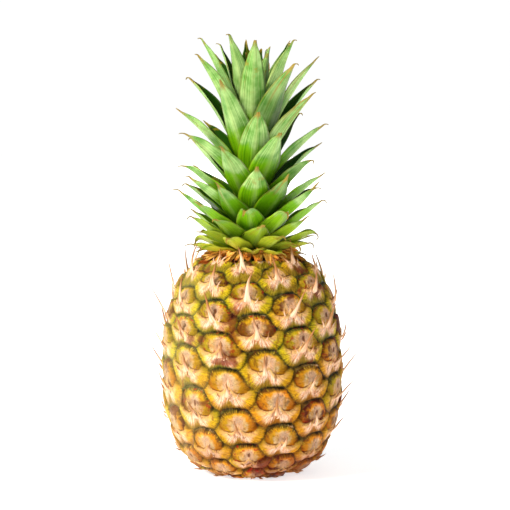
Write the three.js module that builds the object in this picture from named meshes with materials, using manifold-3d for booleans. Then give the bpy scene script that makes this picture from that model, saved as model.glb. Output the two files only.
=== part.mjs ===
// A pineapple as picked, standing on its base: the fruit with its spiny fruitlets, the cut stalk end in
// its underside, the ring of dry bracts on its shoulder and the crown of leaves. Millimetres, +Z up.
// The origin is the centre of the stalk's cut face, which is level with the surface it stands on.
// Azimuth 0 faces -Y and grows towards +X, and one spiral numbers fruitlets and leaves from below.

import * as THREE from "three";
import { mergeVertices } from "three/addons/utils/BufferGeometryUtils.js";
import Module from "manifold-3d";

const { degToRad, lerp, clamp, smoothstep } = THREE.MathUtils;
const wasm = await Module();
wasm.setup();

// Driving dimensions of the fruit
const FRUIT_RADIUS = 61.5; // over the fruitlets, at the widest height
const WIDEST_HEIGHT = 75;
const LOWER_DEPTH = 77.1; // from the widest height to the pole of the lower outline
const UPPER_DEPTH = 75; // from the widest height to the pole of the upper outline
const LOWER_FLATNESS = 0.85; // power of the sine that flattens the underside
const LOWER_FULLNESS = 0.58; // power of the cosine that fills out the belly
const UPPER_FULLNESS = 0.51;
const RELIEF = 4; // from the grooves to the tops of the fruitlets
const SHOULDER_HEIGHT = 143.5; // the hollow under the crown
const SHOULDER_RADIUS = 24;

// Driving dimensions of the spiral of fruitlets
const FRUITLET_TURN = 138; // degrees from one fruitlet to the next
const FRUITLET_RISE = 1.885; // along the outline, from one fruitlet to the next
const END_CROWDING = 0.5; // power of the radius by which the rows close up at both ends
const FIRST_FRUITLET = -42; // on the underside, counted from the one just right of the middle
const LAST_FRUITLET = 58; // under the bracts
const MIDDLE_FRUITLET = 12.9; // the place on the spiral that lies at the widest height
const SPIRAL_START = 15.5; // azimuth of fruitlet 0
const UNEVEN_RISE = 7; // how many places the spiral is pushed up on the left side
const UNEVEN_SPAN = 17.5; // over how many places that push fades out
const STALK_MOUTH = 15; // radius inside which the underside is dished round the stalk

// Driving dimensions of the stalk end, the ring of dry bracts and the crown's stem
const GAP = 0.4; // between one piece and the next
const STALK_RADIUS = 12.5;
const STALK_DEPTH = 12;
const STEM_RADIUS = 13;
const STEM_TIP_RADIUS = 3.5;
const STEM_HEIGHT = 62; // above the shoulder
const STEM_ROOT = 7; // below the shoulder
const RING_HEIGHT = 2.4;
const BRACT_COUNT = 27;
const BRACT_REACH = 33; // radius of the bracts' tips, on average

// Driving dimensions of the crown's leaves
const LEAF_COUNT = 85;
const LEAF_TURN = 138.46; // degrees from one leaf to the next, which sets thirteen upright rows
const LEAF_START = 1; // azimuth of the front leaf
const FRONT_LEAF = 7; // the lowest leaf that faces the front
const LEAF_THICKNESS = 1.7; // along the keel, thinning to both edges
const LEAF_KEEL = 0.16; // depth of the keeled section, as a share of the leaf's width
// From the lowest leaf to the innermost: place on the spiral, the root's height on the stem, the tip's
// radius and height, all heights over the shoulder, the full width, and the arch as a share of the length
const LEAF_FORMS = [
  { place: 0, rootHeight: 3.6, tipRadius: 38, tipHeight: 11, width: 15, arch: 0.05 },
  { place: 7, rootHeight: 4, tipRadius: 41, tipHeight: 15, width: 18, arch: 0.05 },
  { place: 20, rootHeight: 7, tipRadius: 45, tipHeight: 28, width: 20, arch: 0.04 },
  { place: 33, rootHeight: 14, tipRadius: 49, tipHeight: 43, width: 20, arch: 0.04 },
  { place: 46, rootHeight: 28, tipRadius: 48, tipHeight: 64, width: 21.5, arch: 0.05 },
  { place: 59, rootHeight: 47, tipRadius: 48, tipHeight: 96, width: 22, arch: 0.07 },
  { place: 66, rootHeight: 53, tipRadius: 47, tipHeight: 124, width: 21, arch: 0.07 },
  { place: 72, rootHeight: 57, tipRadius: 40, tipHeight: 144, width: 20, arch: 0.05 },
  { place: 77, rootHeight: 59, tipRadius: 29, tipHeight: 147, width: 17.5, arch: 0.03 },
  { place: 84, rootHeight: 61, tipRadius: 7, tipHeight: 138, width: 12, arch: 0.0 },
];

const material = (color, roughness) =>
  new THREE.MeshStandardMaterial({ color, roughness, metalness: 0 });
const rind = material(0xc99a45, 0.5);
const wood = material(0xb58c5a, 0.85);
const dryBract = material(0xa9642a, 0.8);
const leafGreen = material(0x7fae4c, 0.5);

// A repeatable draw between 0 and 1 for one index and one use of it.
function draw(index, use) {
  const x = Math.sin(index * 12.9898 + use * 78.233) * 43758.5453;
  return x - Math.floor(x);
}

// A draw spread evenly on both sides of zero.
const sway = (index, use, reach) => (2 * draw(index, use) - 1) * reach;

// The point at an azimuth in degrees, a radius and a height.
function around(azimuth, radius, height) {
  const turn = degToRad(azimuth);
  return new THREE.Vector3(radius * Math.sin(turn), -radius * Math.cos(turn), height);
}

// The fruit's outline over its fruitlets, from pole to pole as slope runs from -90 to 90 degrees.
function outline(slope) {
  const rise = Math.abs(Math.sin(degToRad(slope)));
  const across = Math.max(Math.cos(degToRad(slope)), 0);
  return slope < 0
    ? new THREE.Vector2(
        FRUIT_RADIUS * across ** LOWER_FULLNESS,
        WIDEST_HEIGHT - LOWER_DEPTH * rise ** LOWER_FLATNESS,
      )
    : new THREE.Vector2(
        FRUIT_RADIUS * across ** UPPER_FULLNESS,
        WIDEST_HEIGHT + UPPER_DEPTH * rise,
      );
}

// Steps along the outline, each with its point, outward normal and place on the spiral, which grows with
// the length walked and faster where the fruit narrows.
function outlineSteps(stepCount = 720) {
  const steps = [];
  let place = 0;
  for (let i = 1; i < stepCount; i++) {
    const slope = lerp(-90, 90, i / stepCount);
    const point = outline(slope);
    if (i > 1) {
      const last = steps[steps.length - 1];
      const walked = point.distanceTo(last.point);
      const girth = Math.max(point.x / FRUIT_RADIUS, 0.1);
      place += walked / FRUITLET_RISE / girth ** END_CROWDING;
      last.normal = point.clone().sub(last.point).normalize();
      last.normal.set(last.normal.y, -last.normal.x);
    }
    steps.push({ point, place });
  }
  steps[steps.length - 1].normal = steps[steps.length - 2].normal;
  const middle = steps[Math.round(stepCount / 2) - 1].place;
  for (const step of steps) step.place += MIDDLE_FRUITLET - middle;
  return steps;
}

const STEPS = outlineSteps();

// Where a place on the spiral lies on the outline: its point and outward normal.
function onOutline(place) {
  let low = 0;
  let high = STEPS.length - 1;
  while (high - low > 1) {
    const half = (low + high) >> 1;
    if (STEPS[half].place < place) low = half;
    else high = half;
  }
  const a = STEPS[low];
  const b = STEPS[high];
  const share = clamp((place - a.place) / (b.place - a.place), 0, 1);
  return {
    point: a.point.clone().lerp(b.point, share),
    normal: a.normal.clone().lerp(b.normal, share).normalize(),
  };
}

// A point of the fruit's surface at an azimuth and place on the spiral, raised by height over the grooves.
// The left side has grown further up than the right, and nothing reaches below the resting plane.
function onFruit(azimuth, place, height) {
  const leftness = ((1 - Math.sin(degToRad(azimuth))) / 2) ** 3;
  const fade = Math.exp(-(((place - MIDDLE_FRUITLET) / UNEVEN_SPAN) ** 2));
  const { point, normal } = onOutline(place + UNEVEN_RISE * leftness * fade);
  const lifted = point.clone().addScaledVector(normal, height - RELIEF);
  return around(azimuth, Math.max(lifted.x, 1), Math.max(lifted.y, 0));
}

const fruitletAzimuth = (index) => SPIRAL_START + FRUITLET_TURN * index;

// Steps on the spiral to a fruitlet's touching neighbours, and the azimuth that each step turns
const UP_LEFT = 5;
const UP_RIGHT = 8;
const UP = 13;
const turnOf = (steps) => ((((FRUITLET_TURN * steps + 180) % 360) + 360) % 360) - 180;

// The twelve points round a fruitlet's border, anticlockwise from its right corner, as steps in azimuth
// and place. Each is named after the fruitlet below it, so that neighbours share it.
function border(index) {
  const upperLeft = (i) => ["upperLeft", i, (turnOf(UP_LEFT) + turnOf(UP)) / 3, (UP_LEFT + UP) / 3];
  const upperRight = (i) => ["upperRight", i, (turnOf(UP_RIGHT) + turnOf(UP)) / 3, (UP_RIGHT + UP) / 3];
  // The middle of each upper side bulges outwards, which rounds the arch over the fruitlet.
  const top = (i) => ["top", i, turnOf(UP) / 2, UP / 2 + 0.9];
  const rightSide = (i) => ["rightSide", i, turnOf(UP_RIGHT) / 2 + 1, UP_RIGHT / 2 + 0.6];
  const leftSide = (i) => ["leftSide", i, turnOf(UP_LEFT) / 2 - 1, UP_LEFT / 2 + 0.4];
  return [
    upperLeft(index - UP_LEFT),
    rightSide(index),
    upperRight(index),
    top(index),
    upperLeft(index),
    leftSide(index),
    upperRight(index - UP_RIGHT),
    rightSide(index - UP_RIGHT),
    upperLeft(index - UP),
    top(index - UP),
    upperRight(index - UP),
    leftSide(index - UP_LEFT),
  ];
}

// How large a fruitlet's spine is: long on the shoulder, short below, none where the fruit rests.
const spineSize = (index) =>
  smoothstep(index, -30, -8) * lerp(0.55, 1, smoothstep(index, -10, 35)) *
  (1 - smoothstep(index, 46, LAST_FRUITLET));

// The fruit's skin: each fruitlet is a raised scale inside its border, whose bract stands out as a spine.
function fruitSkin() {
  const points = [];
  const faces = [];
  const shared = new Map();
  const add = (point) => points.push(point) - 1;
  const addShared = ([name, index, turn, steps]) => {
    const key = name + index;
    if (!shared.has(key))
      shared.set(key, add(onFruit(fruitletAzimuth(index) + turn, index + steps, 0)));
    return shared.get(key);
  };
  for (let index = FIRST_FRUITLET; index <= LAST_FRUITLET; index++) {
    const azimuth = fruitletAzimuth(index);
    const corners = border(index);
    const outer = corners.map(addShared);
    const rim = corners.map(([, i, turn, steps]) => {
      const across = fruitletAzimuth(i) + turn - azimuth;
      const wrapped = across - 360 * Math.round(across / 360);
      const up = i + steps - index;
      const height = RELIEF * (up > 0 ? 0.8 : 0.7);
      return add(onFruit(azimuth + 0.8 * wrapped, index + 0.8 * up, height));
    });
    const size = spineSize(index);
    const root = [0, 1, 2, 3, 4, 5].map((corner) => {
      const turn = degToRad(60 * corner);
      const across = 5 * Math.cos(turn);
      const up = -1 + (Math.sin(turn) > 0 ? 1.2 : 3.2) * Math.sin(turn);
      return add(onFruit(azimuth + across, index + up, RELIEF * lerp(0.95, 1.15, size)));
    });
    const lean = sway(index, 1, 3);
    const tip = add(onFruit(azimuth + lean * size, index + 4.6 * size, RELIEF * (1 + 1.7 * size)));
    for (let i = 0; i < 12; i++) {
      const next = (i + 1) % 12;
      faces.push(outer[i], outer[next], rim[next], outer[i], rim[next], rim[i]);
    }
    for (let i = 0; i < 6; i++) {
      const next = (i + 1) % 6;
      const [first, middle, last] = [rim[2 * i], rim[2 * i + 1], rim[(2 * i + 2) % 12]];
      faces.push(first, middle, root[i], middle, root[next], root[i], middle, last, root[next]);
      faces.push(root[i], root[next], tip);
    }
  }
  return { points, faces };
}

// The open loops of a skin, each as its points in the order in which a cap goes round them.
function openLoops({ faces }) {
  const following = new Map();
  const used = new Set();
  for (let i = 0; i < faces.length; i += 3)
    for (let j = 0; j < 3; j++) used.add(faces[i + j] + "," + faces[i + ((j + 1) % 3)]);
  for (const edge of used) {
    const [from, to] = edge.split(",").map(Number);
    if (!used.has(to + "," + from)) following.set(to, from);
  }
  const loops = [];
  while (following.size) {
    const loop = [];
    let at = following.keys().next().value;
    while (following.has(at)) {
      loop.push(at);
      const next = following.get(at);
      following.delete(at);
      at = next;
    }
    loops.push(loop);
  }
  return loops;
}

// Closes a loop with rings of a given radius and height, and a last point on the axis.
function capLoop(skin, loop, rings, poleHeight) {
  let inner = loop;
  const join = (a, b) =>
    loop.forEach((_, i) => {
      const next = (i + 1) % loop.length;
      skin.faces.push(a[i], a[next], b[next], a[i], b[next], b[i]);
    });
  for (const [radius, height] of rings) {
    const ring = loop.map((at) => {
      const { x, y } = skin.points[at];
      const scale = radius / Math.hypot(x, y);
      return skin.points.push(new THREE.Vector3(x * scale, y * scale, height)) - 1;
    });
    join(inner, ring);
    inner = ring;
  }
  const pole = skin.points.push(new THREE.Vector3(0, 0, poleHeight)) - 1;
  inner.forEach((at, i) => skin.faces.push(at, inner[(i + 1) % inner.length], pole));
}

// The whole fruit: the skin, a socket for the stalk end below and one for the crown's stem above.
function fruitSolid() {
  const skin = fruitSkin();
  const height = (loop) => skin.points[loop[0]].z;
  const [lower, upper] = openLoops(skin).sort((a, b) => height(a) - height(b));
  const stalkSocket = STALK_RADIUS + GAP;
  capLoop(
    skin,
    lower,
    [
      [STALK_MOUTH, 1.2],
      [stalkSocket, 0.8],
      [stalkSocket, STALK_DEPTH + GAP],
    ],
    STALK_DEPTH + GAP,
  );
  const stemSocket = STEM_RADIUS + GAP;
  capLoop(
    skin,
    upper,
    [
      [SHOULDER_RADIUS, SHOULDER_HEIGHT],
      [stemSocket, SHOULDER_HEIGHT],
      [stemSocket, SHOULDER_HEIGHT - STEM_ROOT],
    ],
    SHOULDER_HEIGHT - STEM_ROOT,
  );
  return meshGeometry(skin);
}

function meshGeometry({ points, faces }) {
  const geometry = new THREE.BufferGeometry().setFromPoints(points);
  geometry.setIndex(faces);
  return geometry;
}

// A closed geometry as a solid that can be joined to others.
function solidOf(geometry) {
  const bare = geometry.clone();
  bare.deleteAttribute("normal");
  bare.deleteAttribute("uv");
  const merged = mergeVertices(bare, 1e-4);
  return new wasm.Manifold(
    new wasm.Mesh({
      numProp: 3,
      vertProperties: new Float32Array(merged.attributes.position.array),
      triVerts: new Uint32Array(merged.index.array),
    }),
  );
}

// A joined solid as a geometry: its largest body's outer skin, so that a sealed hollow is filled.
function geometryOf(solid) {
  const bodies = solid.decompose().sort((a, b) => b.volume() - a.volume());
  const mesh = bodies[0].getMesh();
  const geometry = new THREE.BufferGeometry();
  geometry.setAttribute("position", new THREE.BufferAttribute(mesh.vertProperties, 3));
  geometry.setIndex(new THREE.BufferAttribute(mesh.triVerts, 1));
  return geometry;
}

// A turned solid from its outline, given as radius and height pairs from the lower pole to the upper.
function turned(pairs, sides = 24) {
  const profile = pairs.map(([radius, height]) => new THREE.Vector2(radius, height));
  return new THREE.LatheGeometry(profile, sides).rotateX(Math.PI / 2);
}

// A pointed blade whose section is a shallow V: stations give its keel, its side and outward directions,
// its half width, its depth and its thickness. The last station is the point.
function bladeSolid(stations, tip) {
  const points = [];
  const faces = [];
  for (const { keel, side, outward, half, depth, thickness } of stations) {
    const edge = keel.clone().addScaledVector(outward, -depth);
    points.push(
      edge.clone().addScaledVector(side, half),
      keel.clone().addScaledVector(outward, -thickness),
      edge.clone().addScaledVector(side, -half),
      keel,
    );
  }
  const end = points.push(tip) - 1;
  const last = 4 * (stations.length - 1);
  for (let i = 0; i < 4; i++) {
    const next = (i + 1) % 4;
    for (let at = 0; at < last; at += 4)
      faces.push(at + i, at + next, at + 4 + next, at + i, at + 4 + next, at + 4 + i);
    faces.push(last + i, last + next, end);
  }
  faces.push(0, 2, 1, 0, 3, 2);
  return solidOf(meshGeometry({ points, faces }));
}

// The form of one leaf, blended between the forms listed above, with a little unevenness.
function leafForm(index) {
  const next = LEAF_FORMS.findIndex((form) => form.place >= Math.max(index, 1));
  const [a, b] = [LEAF_FORMS[next - 1], LEAF_FORMS[next]];
  const blend = (key) => lerp(a[key], b[key], (index - a.place) / (b.place - a.place));
  return {
    azimuth: LEAF_START + LEAF_TURN * (index - FRONT_LEAF) + sway(index, 1, 3),
    rootHeight: blend("rootHeight"),
    tipRadius: blend("tipRadius") * (1 + sway(index, 2, 0.07)),
    tipHeight: blend("tipHeight") + sway(index, 3, 2),
    width: blend("width"),
    arch: blend("arch"),
    drift: sway(index, 4, 3),
  };
}

// The stem's radius at a height over the shoulder.
const stemRadius = (height) =>
  lerp(STEM_RADIUS, STEM_TIP_RADIUS, clamp(height / STEM_HEIGHT, 0, 1) ** 1.3);

// A leaf's width along its length as a share of its full width: a clasping base, the full width from a
// third of the way, and a point over the last two fifths.
const leafOutline = (along) =>
  lerp(0.7, 1, smoothstep(along, 0, 0.4)) * Math.cos(((Math.PI / 2) * Math.max(along - 0.6, 0)) / 0.4);

// One leaf, rooted in the stem and arching outwards along a curve from its base to its tip.
function leafSolid(index) {
  const form = leafForm(index);
  const start = new THREE.Vector2(stemRadius(form.rootHeight) * 0.55, form.rootHeight);
  const end = new THREE.Vector2(form.tipRadius, form.tipHeight);
  const chord = end.clone().sub(start);
  const bow = new THREE.Vector2(-chord.y, chord.x).multiplyScalar(2 * form.arch);
  const middle = start.clone().lerp(end, 0.5).add(bow);
  const curve = new THREE.QuadraticBezierCurve(start, middle, end);
  const side = around(form.azimuth + 90, 1, 0);
  const place = (point, along) =>
    around(form.azimuth, point.x, SHOULDER_HEIGHT + point.y)
      .addScaledVector(side, form.drift * along ** 2);
  const stations = [0, 0.34, 0.62, 0.82].map((along) => {
    const tangent = curve.getTangent(along);
    const half = (form.width / 2) * leafOutline(along);
    return {
      keel: place(curve.getPoint(along), along),
      side,
      outward: around(form.azimuth, tangent.y, -tangent.x),
      half,
      depth: 2 * half * LEAF_KEEL,
      thickness: LEAF_THICKNESS * lerp(1.1, 0.7, along),
    };
  });
  return bladeSolid(stations, place(end, 1));
}

// The crown: its stem, rooted in the fruit's socket, and every leaf fused to it.
function crownSolid() {
  const stem = solidOf(
    turned(
      [
        [0, SHOULDER_HEIGHT - STEM_ROOT + GAP],
        [STEM_RADIUS, SHOULDER_HEIGHT - STEM_ROOT + GAP],
        [STEM_RADIUS, SHOULDER_HEIGHT + 6],
        [stemRadius(STEM_HEIGHT / 2), SHOULDER_HEIGHT + STEM_HEIGHT / 2],
        [STEM_TIP_RADIUS, SHOULDER_HEIGHT + STEM_HEIGHT],
        [0, SHOULDER_HEIGHT + STEM_HEIGHT + 3],
      ],
      16,
    ),
  );
  const leaves = Array.from({ length: LEAF_COUNT }, (_, index) => leafSolid(index));
  return geometryOf(wasm.Manifold.union([stem, ...leaves]));
}

// One dry bract of the ring: a short curled scale that points outwards and a little up.
function ringBract(index) {
  const azimuth = (360 * index) / BRACT_COUNT + sway(index, 5, 4);
  const reach = BRACT_REACH + sway(index, 6, 3);
  const lift = lerp(4.5, 7, draw(index, 7));
  const root = STEM_RADIUS + 3;
  const side = around(azimuth + 90, 1, 0);
  const floor = SHOULDER_HEIGHT + GAP + 0.2;
  const stations = [0, 0.6].map((along) => ({
    keel: around(azimuth, lerp(root, reach, along), floor + lift * along),
    side,
    outward: new THREE.Vector3(0, 0, -1),
    half: lerp(4.5, 4, along),
    depth: 1,
    thickness: 1.8,
  }));
  return bladeSolid(stations, around(azimuth, reach + 1, floor + 1.1 * lift));
}

// The ring of dry bracts between the fruit's shoulder and the lowest leaves.
function ringSolid() {
  const inside = STEM_RADIUS + GAP;
  const floor = SHOULDER_HEIGHT + GAP;
  const band = solidOf(
    turned(
      [
        [inside, floor],
        [SHOULDER_RADIUS - 2, floor],
        [SHOULDER_RADIUS, floor + RING_HEIGHT / 2],
        [inside, floor + RING_HEIGHT],
        [inside, floor],
      ],
      28,
    ),
  );
  const bracts = Array.from({ length: BRACT_COUNT }, (_, index) => ringBract(index));
  return geometryOf(wasm.Manifold.union([band, ...bracts]));
}

// The stalk's cut end, whose face is level with the resting plane.
const stalkSolid = () =>
  turned([
    [0, 0],
    [STALK_RADIUS - 0.8, 0],
    [STALK_RADIUS, 0.8],
    [STALK_RADIUS, STALK_DEPTH],
    [0, STALK_DEPTH],
  ]);

const pineapple = new THREE.Group();

function addPiece(name, geometry, finish) {
  geometry.computeVertexNormals();
  const piece = new THREE.Mesh(geometry, finish);
  piece.name = name;
  pineapple.add(piece);
}

addPiece("stalk_end", stalkSolid(), wood);
addPiece("fruit", fruitSolid(), rind);
addPiece("dry_bract_ring", ringSolid(), dryBract);
addPiece("crown", crownSolid(), leafGreen);

export default pineapple;
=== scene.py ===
# %% [markdown]
# # A whole pineapple
# This lesson dresses the solid model of a pineapple. The solids already have the right size and place,
# so each step swaps one of them for a finer surface of the same form, and gives it the colours of the
# living thing. Shapes are worked out in millimetres with numpy and turned to metres in one place.

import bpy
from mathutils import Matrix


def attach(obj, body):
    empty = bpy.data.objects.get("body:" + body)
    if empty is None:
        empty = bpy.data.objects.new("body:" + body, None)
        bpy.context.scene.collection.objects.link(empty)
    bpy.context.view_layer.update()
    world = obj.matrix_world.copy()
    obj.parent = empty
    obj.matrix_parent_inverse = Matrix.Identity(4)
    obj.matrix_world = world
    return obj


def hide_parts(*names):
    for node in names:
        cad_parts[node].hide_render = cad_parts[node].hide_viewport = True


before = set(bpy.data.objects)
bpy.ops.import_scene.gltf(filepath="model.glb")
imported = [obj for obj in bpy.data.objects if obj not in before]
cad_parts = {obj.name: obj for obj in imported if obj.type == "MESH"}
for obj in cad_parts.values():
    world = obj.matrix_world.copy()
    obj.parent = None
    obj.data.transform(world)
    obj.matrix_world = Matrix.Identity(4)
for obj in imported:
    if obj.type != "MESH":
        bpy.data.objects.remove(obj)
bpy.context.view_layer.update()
print("nodes:", sorted(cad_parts))

# %% [markdown]
# ## Helpers for shapes
# Everything on a pineapple repeats with small differences. A random generator would give new numbers
# whenever the order of the steps changed, so a draw here depends only on a number's index and its use.
# Two blending formulas, a straight one and a smooth one, do most of the shaping.

import bpy
import numpy as np

MM = 0.001  # metres in a millimetre


def draw(index, use):
    """A repeatable draw from 0 to 1: the fraction of a large sine of the index and its use."""
    wave = np.sin(np.asarray(index, float) * 12.9898 + use * 78.233) * 43758.5453
    return wave - np.floor(wave)


def sway(index, use, reach):
    """A draw spread evenly on both sides of zero."""
    return (2 * draw(index, use) - 1) * reach


def lerp(low, high, share):
    """The value that lies this share of the way from low to high."""
    return low + (high - low) * share


def smoothstep(value, low, high):
    """0 below low, 1 above high, and in between 3s^2 - 2s^3, which starts and ends level."""
    share = np.clip((value - low) / (high - low), 0, 1)
    return share * share * (3 - 2 * share)


def between_ends(along):
    """1 between the first and the last station of a piece and 0 at both, which closes its ends."""
    return ((along > along.min()) & (along < along.max())).astype(float)


def bump(distance, reach):
    """A soft hill: 1 at distance 0, falling away as a bell curve over the reach."""
    return np.exp(-((distance / reach) ** 2))


print("three draws:", draw([0, 1, 2], 1).round(3))

# %% [markdown]
# ## From arrays to a piece
# A surface is a grid of points, so its faces follow from the grid's shape. Points that fall on the same
# place are welded, which closes seams and poles. What a pattern needs to know, such as how far along a
# leaf it is, is kept on the face corners: there two faces that share a point can still differ.

# %% Make a piece from a grid
WELD = 1e-4  # millimetres within which points are one point


def grid_faces(count, rows, columns):
    """Quads of count separate grids of rows by columns points, numbered row by row."""
    first = np.arange(count)[:, None, None] * rows * columns
    start = first + np.arange(rows - 1)[:, None] * columns + np.arange(columns - 1)
    return np.stack([start, start + 1, start + columns + 1, start + columns], -1).reshape(-1, 4)


def weld(points, faces):
    """The first point at every place, and each face's corners as numbers in that list."""
    places = np.round(points / WELD).astype(np.int64)
    _, first, welded = np.unique(places, axis=0, return_index=True, return_inverse=True)
    return first, welded.ravel()[faces]


def add_object(name, data):
    """An object with this mesh, lamp or camera, put into the scene."""
    made = bpy.data.objects.new(name, data)
    bpy.context.scene.collection.objects.link(made)
    return made


def make_piece(name, points, faces, maps):
    """Weld the points, split the quads into triangles, drop those without area and keep the maps."""
    if faces.shape[1] == 4:
        faces = np.concatenate([faces[:, [0, 1, 2]], faces[:, [0, 2, 3]]])
    first, corners = weld(points, faces)
    sound = (corners != np.roll(corners, 1, axis=1)).all(1)
    faces = faces[sound]
    corners = corners[sound]
    mesh = bpy.data.meshes.new(name)
    mesh.vertices.add(len(first))
    mesh.vertices.foreach_set("co", (points[first] * MM).ravel())
    mesh.loops.add(corners.size)
    mesh.loops.foreach_set("vertex_index", corners.ravel())
    mesh.polygons.add(len(corners))
    mesh.polygons.foreach_set("loop_start", np.arange(0, corners.size, 3))
    mesh.update(calc_edges=True)
    mesh.polygons.foreach_set("use_smooth", np.ones(len(corners), bool))
    for map_name, values in maps.items():
        layer = mesh.attributes.new(map_name, "FLOAT_VECTOR", "CORNER")
        layer.data.foreach_set("vector", values[faces].ravel())
    print(name, "has", len(corners), "triangles")
    return add_object(name, mesh)


def two_faces(count):
    """Places over a blade's outer face, from edge to edge, and back over its inner face, which is 1."""
    outer = np.linspace(-1, 1, count)
    places = np.concatenate([outer, outer[-2::-1]])
    inner = np.concatenate([outer * 0, outer[-2:0:-1] * 0 + 1, [0]])
    return places[None, None, :], inner[None, None, :]


def stack(*values):
    """Three arrays, spread to a common shape, as one list of vectors."""
    return np.stack(np.broadcast_arrays(*values), -1).reshape(-1, 3).astype(float)

# %% [markdown]
# ## Helpers for materials
# A shader is a web of small nodes. Here a wire stands for a value on its way from one node to the next,
# and each sum or product of wires adds the node that works it out, so a pattern reads like a formula.
# Masks decide where, ramps decide how sharply, and mixes lay one colour over the last, as a painter would.

# %% Wires and nodes


class Wire:
    """A value on its way through a shader, which is added and multiplied like a number."""

    def __init__(self, socket):
        self.socket = socket
        self.tree = socket.id_data

    def __add__(self, other):
        return maths("ADD", self, other)

    def __sub__(self, other):
        return maths("SUBTRACT", self, other)

    def __rsub__(self, other):
        return maths("SUBTRACT", other, self)

    def __mul__(self, other):
        return maths("MULTIPLY", self, other)

    def __truediv__(self, other):
        return maths("DIVIDE", self, other)

    def __rtruediv__(self, other):
        return maths("DIVIDE", other, self)

    def __abs__(self):
        return maths("ABSOLUTE", self)


def join(value, socket):
    """Link a wire to a socket, or set the socket to a plain value."""
    if isinstance(value, Wire):
        value.tree.links.new(value.socket, socket)
    else:
        socket.default_value = value


def add_node(tree, kind, inputs=None, **settings):
    """Add a node: the settings are its own properties, the inputs its sockets' wires or values."""
    made = tree.nodes.new(kind)
    for key, value in settings.items():
        setattr(made, key, value)
    for key, value in (inputs or {}).items():
        join(value, made.inputs[key])
    return made


def wire_from(tree, kind, output, inputs=None, **settings):
    """Add a node and take the wire that leaves its output of this name or number."""
    return Wire(add_node(tree, kind, inputs, **settings).outputs[output])

# %% Sums and ramps


def tree_of(values):
    """The shader that the wires among the values belong to."""
    return next(value.tree for value in values if isinstance(value, Wire))


def maths(operation, *values):
    """One sum, product or other operation on wires and numbers."""
    return wire_from(tree_of(values), "ShaderNodeMath", 0, dict(enumerate(values)), operation=operation)


def greater(a, b):
    """The greater of two values."""
    return maths("MAXIMUM", a, b)


def rise(value, low, high, start=0.0, end=1.0):
    """A smooth ramp from start, where value is low, to end, where it is high."""
    inputs = {"Value": value, "From Min": low, "From Max": high, "To Min": start, "To Max": end}
    return wire_from(value.tree, "ShaderNodeMapRange", "Result", inputs, interpolation_type="SMOOTHSTEP")

# %% Colours


def srgb(red, green, blue):
    """A colour given as screen values from 0 to 255, turned to the linear light that shaders use."""
    share = np.array([red, green, blue]) / 255
    linear = np.where(share <= 0.04045, share / 12.92, ((share + 0.055) / 1.055) ** 2.4)
    return (*linear.tolist(), 1.0)


def mix(factor, under, over):
    """The colour over laid on the colour under, as thickly as the factor says.

    A colour is a wire, or three screen values from 0 to 255.
    """
    under, over = [colour if isinstance(colour, Wire) else srgb(*colour) for colour in (under, over)]
    inputs = {0: factor, 6: under, 7: over}  # the node's own numbers for its factor and two colours
    return wire_from(factor.tree, "ShaderNodeMix", 2, inputs, data_type="RGBA")


def lay(colour, *coats):
    """The colour under several coats, each a mask and its colour, from the lowest to the top one."""
    for mask, coat in coats:
        colour = mix(mask, colour, coat)
    return colour


def deepen(colour, power):
    """The colour to a power over 1: its dark and middle tones get darker, the pale ones stay."""
    return wire_from(colour.tree, "ShaderNodeGamma", 0, {0: colour, 1: power})


print("middle grey in linear light:", srgb(128, 128, 128)[0])

# %% Vectors, noise and maps


def combine(*values):
    """Three wires or numbers as one vector."""
    return wire_from(tree_of(values), "ShaderNodeCombineXYZ", 0, dict(enumerate(values)))


def split(vector):
    """The three parts of a vector."""
    made = add_node(vector.tree, "ShaderNodeSeparateXYZ", {0: vector})
    return [Wire(socket) for socket in made.outputs]


def stretch(vector, x, y, z):
    """The vector with each of its parts multiplied."""
    inputs = {0: vector, 1: (x, y, z)}
    return wire_from(vector.tree, "ShaderNodeVectorMath", 0, inputs, operation="MULTIPLY")


def noise(vector, scale, detail=2.0, roughness=0.5):
    """Cloudy noise around 0.5, with the given number of clouds per unit of the vector."""
    inputs = {"Vector": vector, "Scale": scale, "Detail": detail, "Roughness": roughness}
    return wire_from(vector.tree, "ShaderNodeTexNoise", "Fac", inputs)


def read_map(tree, name):
    """A map kept on the face corners, as its whole vector and its three parts."""
    vector = wire_from(tree, "ShaderNodeAttribute", "Vector", attribute_name=name)
    return [vector, *split(vector)]


def object_place(tree):
    """Where a point is on the object, in metres."""
    return wire_from(tree, "ShaderNodeTexCoord", "Object")

# %% Begin and finish a material


def new_material(name):
    """A material without nodes, and its node tree."""
    material = bpy.data.materials.new(name)
    material.use_nodes = True
    material.node_tree.nodes.clear()
    return material, material.node_tree


def give_shader(tree, inputs):
    """Give a material its principled shader with these inputs."""
    surface = wire_from(tree, "ShaderNodeBsdfPrincipled", "BSDF", inputs)
    add_node(tree, "ShaderNodeOutputMaterial", {"Surface": surface})


def finish_material(colour, roughness, specular, height, depth):
    """Give the colour's material its shader, with a relief of this depth in metres."""
    relief_inputs = {"Height": height, "Strength": 1.0, "Distance": depth}
    normal = wire_from(colour.tree, "ShaderNodeBump", "Normal", relief_inputs)
    inputs = {
        "Base Color": colour,
        "Roughness": roughness,
        "Specular IOR Level": specular,
        "Normal": normal,
    }
    give_shader(colour.tree, inputs)
    print("the shader has", len(colour.tree.nodes), "nodes")

# %% [markdown]
# ## Two effects that several finishes share
# Leaves, bracts and spines are all full of fibres that run lengthwise, and everything on a picked fruit
# carries brown flecks where it has rubbed or dried. Each effect is a node group, built once, and each
# material sets the group's inputs to suit its own scale.

# %% Groups for fibres and flecks


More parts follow.
